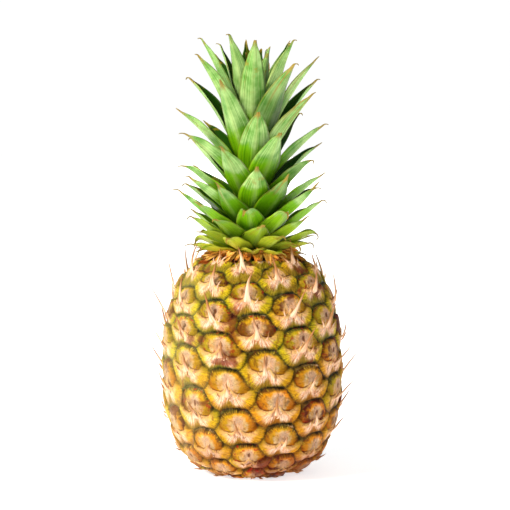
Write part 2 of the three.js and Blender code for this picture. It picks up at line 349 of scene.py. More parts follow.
def new_group(name, inputs, output):
    """A node group with named inputs and one output, the wires that enter it and its output socket."""
    group = bpy.data.node_groups.new(name, "ShaderNodeTree")
    for key, (kind, value) in inputs.items():
        made = group.interface.new_socket(key, in_out="INPUT", socket_type=kind)
        if value is not None:
            made.default_value = value
    group.interface.new_socket(output, in_out="OUTPUT", socket_type="NodeSocketFloat")
    entering = add_node(group, "NodeGroupInput").outputs
    given = {key: Wire(entering[key]) for key in inputs}
    return group, given, add_node(group, "NodeGroupOutput").inputs[output]


OWN_SPREAD = 7.3  # how far apart in the noise two pieces with different draws lie

fibre_inputs = {
    "Place": ("NodeSocketVector", None),
    "Count": ("NodeSocketFloat", 12.0),
    "Length": ("NodeSocketFloat", 1.5),
}
fibres, given, result = new_group("lengthwise_fibres", fibre_inputs, "Streak")
lengthwise, sideways, own_part = split(given["Place"])
spread = combine(lengthwise * given["Length"], sideways * given["Count"], own_part * OWN_SPREAD)
join(noise(spread, 1.0, 3.0), result)

fleck_inputs = {"Size": ("NodeSocketFloat", 0.002), "Cover": ("NodeSocketFloat", 0.3)}
flecks, given, result = new_group("brown_flecks", fleck_inputs, "Mask")
clouds = noise(object_place(flecks), 1.0 / given["Size"], 3.0, 0.6)
edge = 0.72 - given["Cover"] * 0.35
join(rise(clouds, edge, edge + 0.1), result)


def streaks(place, count, length):
    """The fibre group's streaks along a piece, from 0 to 1."""
    inputs = {"Place": place, "Count": count, "Length": length}
    return wire_from(place.tree, "ShaderNodeGroup", "Streak", inputs, node_tree=fibres)


def fleck_mask(tree, size, cover):
    """Where the fleck group puts brown flecks of a size in metres."""
    return wire_from(tree, "ShaderNodeGroup", "Mask", {"Size": size, "Cover": cover}, node_tree=flecks)


print("shared groups:", fibres.name, flecks.name)

# %% [markdown]
# ## The fruit's outline and its spiral
# A pineapple's fruitlets grow one after another at a steady turn, each a little higher than the last, so
# that they line up in spirals of five, eight and thirteen. Two tables carry everything else: the outline
# of the fruit, and how far along the spiral each height lies. Rows crowd together where the fruit narrows.

# %% Measures of the fruit
FRUIT_RADIUS = 61.5  # over the fruitlets, at the widest height
WIDEST_HEIGHT = 75
LOWER_DEPTH = 77.1
UPPER_DEPTH = 75
LOWER_FLATNESS = 0.85
LOWER_FULLNESS = 0.58
UPPER_FULLNESS = 0.51
RELIEF = 4  # from the grooves to the tops of the fruitlets
SHOULDER_HEIGHT = 143.5
HIGHEST_SKIN = 145  # where the collar covers the fruitlets

FRUITLET_TURN = 138  # degrees from one fruitlet to the next
FRUITLET_RISE = 1.885  # along the outline
END_CROWDING = 0.5
FIRST_FRUITLET = -42
LAST_FRUITLET = 61
LAST_SPINE = 57  # the fruitlets above it lie under the collar
MIDDLE_FRUITLET = 12.9  # the place on the spiral at the widest height
SPIRAL_START = 15.5
UNEVEN_RISE = 7  # places by which the left side has grown ahead
UNEVEN_SPAN = 17.5
print("fruitlets in one turn of the spiral:", round(360 / FRUITLET_TURN, 2))

# %% Outline and spiral


def outline_table(steps=720):
    """Place on the spiral, radius, height and normal along the outline, from pole to pole.

    The outline is a sine and cosine whose powers flatten the underside and fill out the sides.
    """
    slope = np.radians(np.linspace(-90, 90, steps + 1)[1:-1])
    rising = np.abs(np.sin(slope))
    across = np.cos(slope)
    below = slope < 0
    radius = FRUIT_RADIUS * across ** np.where(below, LOWER_FULLNESS, UPPER_FULLNESS)
    depth = np.where(below, -LOWER_DEPTH * rising**LOWER_FLATNESS, UPPER_DEPTH * rising)
    height = WIDEST_HEIGHT + depth
    girth = np.maximum(radius[1:] / FRUIT_RADIUS, 0.1)
    walked = np.hypot(np.diff(radius), np.diff(height)) / FRUITLET_RISE / girth**END_CROWDING
    place = np.concatenate([[0], np.cumsum(walked)])
    place += MIDDLE_FRUITLET - place[steps // 2 - 1]
    along_radius = np.gradient(radius)
    along_height = np.gradient(height)
    length = np.hypot(along_radius, along_height)
    return place, radius, height, along_height / length, -along_radius / length


PLACE, RADIUS, HEIGHT, NORMAL_OUT, NORMAL_UP = outline_table()


def around(azimuth, radius, height):
    """Points at azimuths in degrees, radii and heights; azimuth 0 faces the camera."""
    turn = np.radians(azimuth)
    return np.stack(np.broadcast_arrays(radius * np.sin(turn), -radius * np.cos(turn), height), -1)


def on_outline(azimuth, place):
    """Radius, height and normal of the outline, with the left side's head start."""
    leftness = ((1 - np.sin(np.radians(azimuth))) / 2) ** 3
    place = place + UNEVEN_RISE * leftness * bump(place - MIDDLE_FRUITLET, UNEVEN_SPAN)
    tables = (RADIUS, HEIGHT, NORMAL_OUT, NORMAL_UP)
    return [np.interp(place, PLACE, table) for table in tables]


def on_fruit(azimuth, place, height):
    """The surface point at an azimuth and place, lifted by height over the grooves' floor."""
    radius, level, out, up = on_outline(azimuth, place)
    lift = height - RELIEF
    reach = np.maximum(radius + lift * out, 1)
    return around(azimuth, reach, np.clip(level + lift * up, 0, HIGHEST_SKIN))


fruitlets = np.arange(FIRST_FRUITLET, LAST_FRUITLET + 1)
fruitlet_azimuth = SPIRAL_START + FRUITLET_TURN * fruitlets
print(len(fruitlets), "fruitlets from radius", np.interp(FIRST_FRUITLET, PLACE, RADIUS).round(1))

# %% [markdown]
# ## One fruitlet's border
# Each fruitlet touches six others: those 5, 8 and 13 steps up and down the spiral. The corners where
# three meet are the same for all, so one border serves every fruitlet. Its upper sides arch over the
# round eye, and pinch in beside the two horns of the bract, where the neighbours press against it.

# %% Border of a fruitlet
MM_PER_DEGREE = np.radians(1) * FRUIT_RADIUS
TO_MM = np.array([MM_PER_DEGREE, FRUITLET_RISE])  # degrees and places to millimetres on the skin
STEP_5 = np.array([-30.0, 5.0])  # degrees and places to the neighbour up and to the left
STEP_8 = np.array([24.0, 8.0])
STEP_13 = np.array([-6.0, 13.0])
UPPER_LEFT = (STEP_5 + STEP_13) / 3
UPPER_RIGHT = (STEP_8 + STEP_13) / 3
SIDE_POINTS = 8
ARCH_BULGE = 1.3  # millimetres by which the top side arches
RIGHT_PINCH = 2.0  # millimetres by which the side above the right horn pinches in
LEFT_PINCH = 1.5
RIGHT_SKEW = 0.6  # how much nearer its start than its end a side is pinched
LEFT_SKEW = -0.3


def border_side(start, end, push, skew, points=SIDE_POINTS):
    """A line from corner to corner, pushed out by half a sine wave that leans to one end."""
    share = np.linspace(0, 1, points, endpoint=False)[:, None]
    along = (end - start) * TO_MM
    outward = np.array([along[1], -along[0]]) / np.hypot(*along)
    pushed = push * np.sin(np.pi * share) * (1 + skew * (1 - 2 * share))
    return start + (end - start) * share + pushed * outward / TO_MM


def fruitlet_border(points=SIDE_POINTS):
    """The closed border, anticlockwise from the right horn, in degrees and places.

    The lower three sides are the upper three of the neighbours, walked the other way.
    """
    right = UPPER_LEFT - STEP_5
    left = UPPER_RIGHT - STEP_8
    lower_left = UPPER_LEFT - STEP_13
    lower_right = UPPER_RIGHT - STEP_13
    sides = [
        border_side(right, UPPER_RIGHT, -RIGHT_PINCH, RIGHT_SKEW, points),
        border_side(UPPER_RIGHT, UPPER_LEFT, ARCH_BULGE, 0, points),
        border_side(UPPER_LEFT, left, -LEFT_PINCH, LEFT_SKEW, points),
        border_side(left, lower_left, RIGHT_PINCH, -RIGHT_SKEW, points),
        border_side(lower_left, lower_right, -ARCH_BULGE, 0, points),
        border_side(lower_right, right, LEFT_PINCH, -LEFT_SKEW, points),
    ]
    return np.concatenate([*sides, right[None]])


def groove_depth(points=SIDE_POINTS):
    """How deep the groove is along the border: full over the arch, shallow beside a horn."""
    share = np.linspace(0, 1, points, endpoint=False)
    horn_side = ([0, 0.2, 0.6, 0.85, 1], [0.4, 0.2, 0.2, 0.4, 0.5])
    other_side = ([0, 0.2, 0.6, 0.85, 1], [0.5, 0.2, 0.2, 0.4, 0.4])
    arch = ([0, 0.2, 0.8, 1], [0.5, 1, 1, 0.4])
    sides = [
        np.interp(share, *horn_side),
        np.interp(share, *arch),
        np.interp(1 - share, *other_side),
        np.interp(1 - share, *horn_side),
        np.interp(1 - share, *arch),
        np.interp(share, *other_side),
    ]
    return np.concatenate([*sides, sides[0][:1]])


border = fruitlet_border()
print("fruitlet is", np.ptp(border * TO_MM, axis=0).round(1), "mm wide and tall")

# %% [markdown]
# ## A fruitlet's relief
# Seen close, the upper half of a fruitlet is a domed disc, the closed flower, and the lower half is a
# bract: it wells up under the disc in two smiling folds, stretches a horn to either side and carries a
# spine in its middle. Four maps say how far a point is from the disc's centre, the folds, the disc's edge
# and the groove. The pattern sits a little turned, swollen and shifted in each fruitlet. The relief is a
# sum of soft steps of those maps, and the colours are mixed from the same maps later, so they agree.

# %% Maps of one fruitlet
CENTRE = np.array([-0.7, 1.2])  # where the rings of points shrink to, in degrees and places
RINGS = np.array(
    [0, 0.09, 0.18, 0.27, 0.36, 0.45, 0.53, 0.61, 0.68, 0.74, 0.8, 0.85, 0.89, 0.925, 0.955, 0.98, 1]
)
spoke = CENTRE + RINGS[:, None, None] * (border - CENTRE)
across, upward = np.moveaxis(spoke * TO_MM, -1, 0)

own = fruitlets[:, None, None]
twist = np.radians(sway(own, 14, 8))
swell = 1 + sway(own, 15, 0.08)
shifted = (across - sway(own, 16, 0.8), upward - sway(own, 17, 0.7))
own_across = (shifted[0] * np.cos(twist) + shifted[1] * np.sin(twist)) / swell
own_upward = (shifted[1] * np.cos(twist) - shifted[0] * np.sin(twist)) / swell

DISC_CENTRE = (-0.6, 4.7)
DISC_HALF = (14.2, 9.2)
DISC_ROUND = 11  # the disc's mean radius
CLOSING_START = 34  # from this fruitlet on, the bract covers more and more of the disc
CLOSING_END = 54
BRACT_CLOSING = 5  # millimetres more, at the end
FOLD_MIDDLE = 7  # millimetres from the fruitlet's middle, where a fold sags most
FOLD_LEVEL = -1.8
FOLD_CURVE = 0.03
PEAK_HEIGHT = 3.4  # of the tongue between the two folds
PEAK_REACH = 2.6

disc_across = (own_across - DISC_CENTRE[0]) / DISC_HALF[0]
disc_upward = (own_upward - DISC_CENTRE[1]) / DISC_HALF[1]
disc = np.hypot(disc_across, disc_upward)


def smile_height(from_middle):
    """Where the bract's upper edge runs: two sagging folds, and a peak between them."""
    fold = FOLD_LEVEL + FOLD_CURVE * (from_middle - FOLD_MIDDLE) ** 2
    return fold + PEAK_HEIGHT * bump(from_middle, PEAK_REACH)


from_middle = np.abs(own_across + 0.3)
closed = BRACT_CLOSING * smoothstep(own, CLOSING_START, CLOSING_END)
smile = own_upward - smile_height(from_middle) - closed


def soft_least(a, b, blend):
    """The lesser of two values, with the corner where they cross rounded over the blend."""
    share = np.clip(0.5 + 0.5 * (b - a) / blend, 0, 1)
    return lerp(b, a, share) - blend * share * (1 - share)


inside_disc = soft_least(smile, (1 - disc) * DISC_ROUND, 1.2)

FINE_POINTS = 40
gaps = np.stack([across, upward], -1)[:, :, None] - fruitlet_border(FINE_POINTS) * TO_MM
gaps = np.sqrt((gaps**2).sum(-1))
groove = gaps.min(-1)
depth_share = groove_depth(FINE_POINTS)[gaps.argmin(-1)]
print("farthest point from a groove:", groove.max().round(1), "mm")

# %% [markdown]
# The same maps serve all hundred or so fruitlets, because their borders are alike in degrees and places.
# Each fruitlet then gets its own puffiness and tilt, which fade out at its border, so neighbours meet.

# %% Relief of every fruitlet
GROOVE_FLOOR = 1.0
SHALLOW_FLOOR = 2.4  # where a horn meets the bract above it
GROOVE_WIDTH = 1.8
DISC_EDGE = 2.5  # height of the disc's edge, and of its dome over it
DISC_DOME = 1.5
DIMPLE_DEPTH = 0.9
CREASE_DEPTH = 1.3  # of the fold between disc and bract
BRACT_TOP = 4.1
BRACT_SLOPE = 0.2  # how fast the bract falls from its upper edge


def fruitlet_relief():
    """Height over the grooves of every point of every fruitlet.

    Disc: a dome that dips along the smile. Bract: highest at its upper edge and in its middle. The
    step from one to the other follows the disc's edge, and all of it falls into the groove at the border.
    """
    puff = 1 + sway(own, 11, 0.25)
    tilt = sway(own, 12, 0.06) * across + sway(own, 13, 0.06) * upward
    dome = DISC_EDGE + DISC_DOME * puff * np.sqrt(np.clip(1 - disc**2, 0, 1))
    dimple = DIMPLE_DEPTH * bump(np.hypot(own_across + 0.3, own_upward - 5.0), 2.2)
    neck = bump(from_middle, 4.0)
    crease = CREASE_DEPTH * np.exp(-np.maximum(inside_disc, 0) / 1.3) * (1 - 0.9 * neck)
    dome = dome - dimple - crease
    below = np.maximum(-inside_disc, 0)
    bract = BRACT_TOP - BRACT_SLOPE * below + 0.4 * neck * np.exp(-below / 8)
    height = lerp(dome + tilt, bract, smoothstep(-inside_disc, -0.4, 0.6))
    wall = smoothstep(groove, 0, GROOVE_WIDTH) ** 0.7
    return lerp(lerp(SHALLOW_FLOOR, GROOVE_FLOOR, depth_share), height, wall)


lifted = fruitlet_relief()
print("relief runs from", lifted.min().round(1), "to", lifted.max().round(1), "mm")

# %% Ways to close an end


def carried(points, radius, height):
    """The points moved to a radius and a height, each at its own azimuth."""
    away = np.hypot(points[:, 0], points[:, 1])[:, None]
    level = np.full((len(points), 1), float(height))
    return np.concatenate([points[:, :2] * radius / away, level], 1)


def close_end(points, faces, upper, rings, pole):
    """Close an open end: each free edge is carried to rings of given radii and heights, then a pole."""
    first, corners = weld(points, faces)
    edges = np.stack([corners, np.roll(corners, -1, axis=1)], -1).reshape(-1, 2)
    edges = edges[edges[:, 0] != edges[:, 1]]
    code = edges[:, 0] * len(first) + edges[:, 1]
    back = edges[:, 1] * len(first) + edges[:, 0]
    free = first[edges[~np.isin(code, back)]]
    at_end = (points[free[:, 0], 2] > WIDEST_HEIGHT) == upper
    a, b = points[free[at_end]].transpose(1, 0, 2)
    made = []
    for radius, height in [*rings, pole]:
        lower_a = carried(a, radius, height)
        lower_b = carried(b, radius, height)
        made.append(np.stack([b, a, lower_a, lower_b], 1))
        a, b = lower_a, lower_b
    return np.concatenate(made).reshape(-1, 3)

# %% Skin of the fruit
STALK_SOCKET = 12.9  # radius of the hollow that the stalk's end fills
UNDERSIDE_RINGS = [(15, 1.2), (STALK_SOCKET, 0.8), (STALK_SOCKET, 12)]  # radii and heights
UNDERSIDE_POLE = (0.001, 12.4)
SHOULDER_RINGS = [(24, SHOULDER_HEIGHT), (13.4, SHOULDER_HEIGHT)]
SHOULDER_POLE = (0.001, 137)

skin_azimuth = fruitlet_azimuth[:, None, None] + spoke[..., 0]
skin_place = own + spoke[..., 1]
skin_points = on_fruit(skin_azimuth, skin_place, lifted).reshape(-1, 3)
skin_faces = grid_faces(len(fruitlets), *across.shape)[:, ::-1]

underside = close_end(skin_points, skin_faces, False, UNDERSIDE_RINGS, UNDERSIDE_POLE)
shoulder = close_end(skin_points, skin_faces, True, SHOULDER_RINGS, SHOULDER_POLE)
ends = np.concatenate([underside, shoulder])
end_faces = np.arange(len(ends)).reshape(-1, 4) + len(skin_points)


def with_ends(values, end_value):
    """A map of the skin, with one value for all the closing faces."""
    return np.concatenate([values, np.broadcast_to(end_value, (len(ends), 3))])


turn_share = np.linspace(0, 1, border.shape[0])
grown = np.interp(skin_place, PLACE, HEIGHT) / SHOULDER_HEIGHT
skin = make_piece(
    "fruit_skin",
    np.concatenate([skin_points, ends]),
    np.concatenate([skin_faces, end_faces]),
    {
        "fruitlet": with_ends(stack(disc, smile, groove), (2.0, -6.0, 2.5)),
        "place": with_ends(stack(own_across, own_upward, turn_share), (0.0, -9.0, 0.0)),
        "depth": with_ends(stack(depth_share, inside_disc, 0), (0.0, -6.0, 1.0)),
        "growth": with_ends(stack(draw(own, 21), grown, draw(own, 22) + 0 * grown), (0.5, 0.5, 0.5)),
    },
)

# %% [markdown]
# ## Colours of the rind
# The disc runs from a cream middle, which the bract's pink enters from below in a narrow neck, through
# gold to its rim: orange low on the fruit, where it ripens first, and olive near the crown. The bract is
# pink and papery in its middle and yellow green along its horns. The grooves are darkened with painted
# shade, less so on the fruit's left side, which is painted paler as painted light from the key light.
# Each of these is a mask made from the maps.

# %% Rind: maps, noises and ripeness
rind, tree = new_material("pineapple_rind")
_, disc_at, smile_at, groove_at = read_map(tree, "fruitlet")
_, across_at, upward_at, turn_at = read_map(tree, "place")
_, depth_at, inside_at, cap_at = read_map(tree, "depth")
_, own_draw, grown_at, second_draw = read_map(tree, "growth")
spot = object_place(tree)
mottle = noise(spot, 260.0, 3.0, 0.6)
grit = noise(spot, 750.0, 3.0, 0.65)
patches = noise(spot, 38.0, 2.0)
inside_at = inside_at + (mottle - 0.5) * 1.6
from_middle_at = abs(across_at + 0.3)

# Radial folds of the disc, counted round it by the spokes
folds = noise(combine(turn_at * 26.0, disc_at * 1.6, own_draw * 50.0), 1.0, 2.0)

# Fine lines that fan out over the bract from its middle
fan = across_at / (5.5 - smile_at)
fan_vector = combine(fan * 16.0, smile_at * 0.16, own_draw * 50.0)
fan_lines = noise(fan_vector, 1.0, 2.0)
fan_sharp = rise(fan_lines, 0.3, 0.7)

# Ripeness: less with height, and less on the fruit's left side, which is painted paler and less orange as
# painted light from the key light
painted_lit_side = rise(split(spot)[0], -0.01, -0.058)
ripeness = grown_at * -1.0 + patches * 1.2 + own_draw * 0.5 - painted_lit_side * 0.3
orange = rise(ripeness, -0.1, 0.75)

# %% Rind: the disc
# Cream, gold and rim from the middle outwards, and paler towards its foot; painted shade in the radial
# folds, and a painted highlight of lighter gold on each disc's left part
cream = mix(rise(mottle, 0.3, 0.7), (248, 200, 128), (255, 232, 190))
gold = mix(orange, (218, 188, 4), (246, 170, 0))
# painted highlight: each disc's left part, towards the key light, is mixed to a lighter gold
painted_lit_gold = mix(orange, (222, 206, 8), (248, 190, 4))
gold = mix(rise(across_at, 3.0, -8.0, 0.0, 0.55), gold, painted_lit_gold)
rim_green = mix(orange, (126, 114, 0), (174, 108, 0))
rim_low = mix(orange, (204, 174, 10), (230, 152, 4))
rim = mix(rise(upward_at + folds * 6.0, 4.0, 14.0), rim_low, rim_green)
pale_foot = rise(upward_at, 7.0, -1.0) * rise(from_middle_at, 9.0, 4.0) * 0.34
disc_reach = disc_at + (folds - 0.5) * 0.55 - pale_foot
fold_shade = rise(folds, 0.44, 0.28) * rise(disc_at, 0.2, 0.6, 0.2, 0.4)

# The pink of the bract runs up into the disc's middle through a narrow neck
pink = mix(fan_sharp, (244, 188, 146), (255, 238, 220))
pink_neck = rise(from_middle_at, 5.0, 2.0) * rise(disc_at, 0.8, 0.4)

# The dark cleft in the middle of the closed flower
cleft_up = (upward_at - 5.2) * 0.6
cleft_side = across_at + (mottle - 0.5) * 3.0
cleft_from = cleft_up * cleft_up + cleft_side * cleft_side
cleft = rise(cleft_from, 2.2, 0.2) * rise(second_draw, 0.2, 0.5)

# Pale ticks along the arch, the ragged edge of the dried flower
crinkle = noise(combine(turn_at * 95.0, own_draw, 0.0), 1.0, 1.0)
tick = rise(crinkle, 0.52, 0.62) * rise(inside_at, 0.3, 0.8) * rise(inside_at, 2.6, 1.5)
tick = tick * rise(upward_at, 3.0, 7.0)
# Painted shade: dark brown along the fold where the bract wells up under the disc
crease = rise(smile_at, 1.2, 0.2) * rise(from_middle_at, 1.5, 4.5)
disc_colour = lay(
    cream,
    (rise(disc_reach, 0.36, 0.66), gold),
    (rise(disc_reach, 0.68, 0.92), rim),
    (fold_shade, (186, 116, 26)),
    (pink_neck * 0.85, pink),
    (cleft * 0.8, (132, 66, 24)),
    (tick * 0.9, (236, 208, 96)),
    (crease * 0.7, (124, 56, 6)),
)

# %% Rind: the bract
# Pink paper in the middle, yellow green at the horns and towards the groove
ragged = from_middle_at + fan_lines * 7.0
paper = rise(ragged - smile_at * 0.3, 17.5, 12.5) * rise(smile_at + fan_lines * 4.0, -9.5, -5.0)
arm = rise(inside_at, -5.0, -2.0) * rise(ragged, 20.0, 13.5) * rise(upward_at, 3.0, -1.0) * 0.85
lime = mix(fan_sharp, (186, 176, 0), (236, 216, 10))
lime = mix(orange, lime, mix(fan_sharp, (214, 156, 0), (248, 196, 30)))
brown = rise(noise(fan_vector, 2.2, 2.0), 0.56, 0.66) * rise(smile_at, -2.0, -5.0)
foot = rise(smile_at + fan_lines * 4.0, -3.5, -8.5)
outer_part = rise(from_middle_at, 5.0, 8.5)
beside = rise(upward_at, 1.0, 5.0) * outer_part
lip = rise(inside_at, -3.6, -1.2) * rise(upward_at, 5.0, 1.0) * rise(fan_lines, 0.3, 0.6)
bract_colour = lay(
    lime,
    (greater(paper, arm), pink),
    (brown * 0.65, (156, 78, 26)),
    (foot * 0.7, mix(orange, (138, 124, 10), (160, 106, 22))),
    (beside * 0.8, mix(orange, (104, 110, 4), (132, 104, 10))),
    (lip * 0.6, (246, 206, 92)),
)

# %% Rind: the groove and its painted shade
# Green beside it; in it painted shade, darkest over the arch of the disc and down its right flank, away
# from the key light
on_bract = rise(inside_at, 0.35, -0.35)
on_disc = 1.0 - on_bract
uneven_groove = groove_at + (mottle - 0.5) * 3.0 + (crinkle - 0.5) * 2.4
green_edge = rise(uneven_groove - depth_at * 1.5, 1.6, -0.9)
# the seam: the groove's own dark green, made darker where the groove is deeper as painted shade
seam_green_and_shade = rise(uneven_groove, 0.9, -0.4) * rise(depth_at, 0.1, 0.6, 0.3, 0.7)
# painted shade: the right side of each fruitlet, away from the key light, gets darker grooves
shaded_side = rise(across_at, -12.0, 10.0, 0.25, 1.0)
flank_shade = rise(abs(inside_at), 1.5, 0.1) * rise(upward_at, 0.0, 4.5) * outer_part
flank_shade = flank_shade * rise(second_draw, 0.0, 1.0, 0.7, 1.0) * shaded_side
arch = rise(uneven_groove, 1.3, 0.0) * rise(depth_at, 0.3, 0.9) * shaded_side
painted_groove_shade = greater(flank_shade, arch) * (1.0 - painted_lit_side * 0.4)

# %% Rind: wear and the finished skin
# Scars, rust at the foot, bruises, blotches and the red remains of dried flowers
scars = rise(noise(stretch(spot, 300.0, 300.0, 90.0), 1.0, 3.0), 0.6, 0.7)
rusty = rise(grown_at, 0.2, 0.02) * rise(patches, 0.35, 0.6)
bruise = rise(noise(spot, 95.0, 3.0, 0.6), 0.46, 0.58) * on_disc
bruise = bruise * rise(own_draw, 0.55, 0.7) * rise(disc_at, 0.2, 0.6)
blotch = rise(noise(spot, 60.0, 3.0), 0.55, 0.64) * rise(second_draw, 0.4, 0.6)
petals = rise(noise(spot, 330.0, 2.0), 0.58, 0.66) * on_disc * rise(disc_at, 0.35, 0.7)
petals = petals * rise(second_draw, 0.3, 0.6)

# Grit: fine dark pits and pale scuffs all over
pits = rise(grit, 0.43, 0.33)
scuffs = rise(grit, 0.58, 0.7)
skin_colour = lay(
    disc_colour,
    (on_bract, bract_colour),
    (green_edge * 0.8, mix(orange, (106, 114, 0), (150, 110, 2))),
    # the groove's dark green, with painted shade where it is deep
    (seam_green_and_shade, mix(orange, (60, 76, 0), (98, 70, 4))),
    # painted shade in the groove, darkest over each disc's arch and right flank
    (painted_groove_shade, mix(orange, (16, 30, 0), (44, 28, 0))),
    (scars * 0.5, (150, 82, 20)),
    (rusty * 0.6, (160, 80, 18)),
    (bruise * 0.85, (124, 44, 14)),
    (blotch * 0.7, (140, 50, 20)),
    (fleck_mask(tree, 0.0016, 0.25) * 0.3, (140, 76, 24)),
    (petals * 0.75, (200, 66, 14)),
    (pits * 0.28, mix(on_bract, (116, 62, 8), (122, 84, 16))),
    (scuffs * 0.16, (255, 226, 130)),
    # painted light: the fruit's left side, towards the key light, is painted paler
    (painted_lit_side * 0.22, (255, 242, 200)),
    (cap_at, mix(mottle, (110, 56, 8), (206, 130, 48))),
)

relief = folds * 0.6 + fan_lines * 0.5 + mottle * 0.9 + grit * 0.25
sheen = rise(mottle, 0.3, 0.7, 0.42, 0.64)
finish_material(deepen(skin_colour, 1.5), sheen, 0.2, relief, depth=0.0026)
skin.data.materials.append(rind)
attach(skin, "root")
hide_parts("fruit")

# %% [markdown]
# ## Spines
# The bract of every fruitlet ends in a papery spine, long at the shoulder and worn away where the fruit
# rests, with small shreds beside it. A spine is a line that leaves the skin at an angle and curls towards
# its tip. Round it goes a flat section that narrows to a point, so each spine is one closed grid.

# %% Shape of a spine
SPINE_STATIONS = 10
SPINE_ROOT_DEPTH = 1.8  # millimetres under the tops of the fruitlets
LOWEST_SPINE = 0.2  # millimetres over the floor, on which the lowest spines are pressed flat
SPINE_SIDES = 6
SPINE_CLOSING = 4  # millimetres by which the spines of the last fruitlets stand higher


def spine_size(index):
    """Share of the full size: small low down, full near the shoulder, less under the collar."""
    grown_up = smoothstep(index, -34, -6) * lerp(0.5, 1, smoothstep(index, -10, 34))
    return grown_up * (1 - 0.35 * smoothstep(index, 48, LAST_SPINE))


def spine_grid(use, share, root, lengths, widths, lifts, lean):
    """Points and map of one spine on each of this share of the fruitlets.

    Pairs of measures go from the smallest spine to the full one. Each spine is root + length x (up
    cos lift + out sin lift), with a curl and a sideways bend that grow with the square of the way
    along. Root is in millimetres on the fruitlet, angles are in degrees.
    """
    chosen = (draw(fruitlets, use + 9) < share) & (fruitlets <= LAST_SPINE)
    own = fruitlets[chosen][:, None, None]
    length, width, lift = [lerp(*pair, spine_size(own)) for pair in (lengths, widths, lifts)]
    along = (np.linspace(0, 1, SPINE_STATIONS) ** 1.3)[None, :, None]
    turn = np.linspace(0, 2 * np.pi, SPINE_SIDES + 1)[None, None, :]
    azimuth = SPIRAL_START + FRUITLET_TURN * own + root[0] / MM_PER_DEGREE + sway(own, use + 1, 1.5)
    closed = SPINE_CLOSING * smoothstep(own, CLOSING_START, CLOSING_END)
    place = own + (root[1] + closed + sway(own, use + 10, 0.8)) / FRUITLET_RISE
    radius, level, out, up = on_outline(azimuth, place)
    tilt = np.radians(lift + sway(own, use + 2, 9))
    length = length * (1 + sway(own, use + 3, 0.32))
    # In the plane of radius and height, up the skin is (-up, out), and outwards is (out, up).
    way_radius = -up * np.cos(tilt) + out * np.sin(tilt)
    way_height = out * np.cos(tilt) + up * np.sin(tilt)
    curl = length * sway(own, use + 4, 0.22) * along**2
    sunk = SPINE_ROOT_DEPTH * np.exp(-along / 0.07)
    reach = radius - sunk * out + length * along * way_radius + curl * out
    rise_up = level - sunk * up + length * along * way_height + curl * up
    slant = np.sin(np.radians(lean + sway(own, use + 5, 16)))
    bend = length * sway(own, use + 6, 0.32)
    waver = 0.35 * np.sin(9 * along + 6 * draw(own, use + 7)) * along
    taper = 0.32 * (1 - along) ** 0.6 + 0.68 * np.exp(-along / 0.15) * (1 - along)
    half = width / 2 * taper * (1 + sway(own, use + 8, 0.2)) * between_ends(along)
    thick = lerp(0.75, 0.4, along) * (1 - along**4) * between_ends(along)
    side = half * np.cos(turn) + length * along * slant + bend * along**2 + waver
    depth = thick * np.sin(turn) - 0.4 * half * np.cos(turn) ** 2
    turned = np.degrees(side / reach) + azimuth
    level = np.maximum(rise_up + depth * up, LOWEST_SPINE)
    points = around(turned, reach + depth * out, level)
    return points, stack(along, np.cos(turn) + 0 * along, draw(own, use) + 0 * along * turn)

# %% Spines of the bracts
# Use of the draws, share of fruitlets, root, lengths, widths, lifts and lean: a spine and three shreds
spine_sets = [
    spine_grid(100, 1.0, (-0.3, -4.6), (7, 18), (6.5, 9), (12, 26), 0),
    spine_grid(120, 0.6, (-5.2, -4.2), (4, 6.5), (2, 2.2), (14, 18), -30),
    spine_grid(140, 0.6, (4.6, -4.2), (4, 6), (2, 2.2), (14, 18), 30),
    spine_grid(160, 0.5, (1.5, -6.5), (4, 6), (1.8, 2), (18, 22), 10),
]
spine_points, spine_map = [np.concatenate(arrays) for arrays in zip(*spine_sets)]
spine_quads = grid_faces(len(spine_points), SPINE_STATIONS, SPINE_SIDES + 1)
spines = make_piece("bract_spines", spine_points.reshape(-1, 3), spine_quads, {"spine": spine_map})

# %% Spine material
spine_paper, tree = new_material("spine_paper")
spine_at, along_at, _, own_draw = read_map(tree, "spine")
fibre = streaks(spine_at, 2.5, 2.0)
pale = mix(rise(fibre, 0.3, 0.7), (222, 164, 120), (250, 218, 188))
dry = mix(fibre, (128, 70, 26), (198, 138, 80))
dry_tip = rise(along_at + own_draw * 0.5, 0.45, 0.95)
near_floor = rise(split(object_place(tree))[2], 0.03, 0.01)
spine_colour = lay(pale, (dry_tip, dry), (near_floor, dry))
finish_material(spine_colour, 0.6, 0.3, fibre, depth=0.0004)
spines.data.materials.append(spine_paper)
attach(spines, "root")

# %% [markdown]
# ## Leaves of the crown
# The crown's leaves follow a spiral of their own, in thirteen upright rows. Every measure of a leaf
# changes steadily from the lowest to the innermost, so a short table of forms is blended by its place on
# the spiral. Each leaf is an arching curve with a keeled section carried along it: an outer and an inner
# face that meet in the two edges. Its tip may hook down, and past it a dry thread curls away.

# %% Leaf forms
LEAF_COUNT = 85
LEAF_TURN = 138.46  # degrees from one leaf to the next
LEAF_START = 1  # degrees from the camera's side to the front leaf
FRONT_LEAF = 7
LEAF_THICKNESS = 1.7
WIDEST_SHARE = 0.42  # where along a leaf it is widest
LEAF_KEEL = 0.24  # depth of the fold, as a share of the width
HOOK_START = 0.72  # where along a leaf its tip begins to hook down
HOOK_DROP = 7  # millimetres, at most
STEM_RADIUS = 13
STEM_TIP_RADIUS = 3.5
STEM_HEIGHT = 62
STEM_ROOT = -6
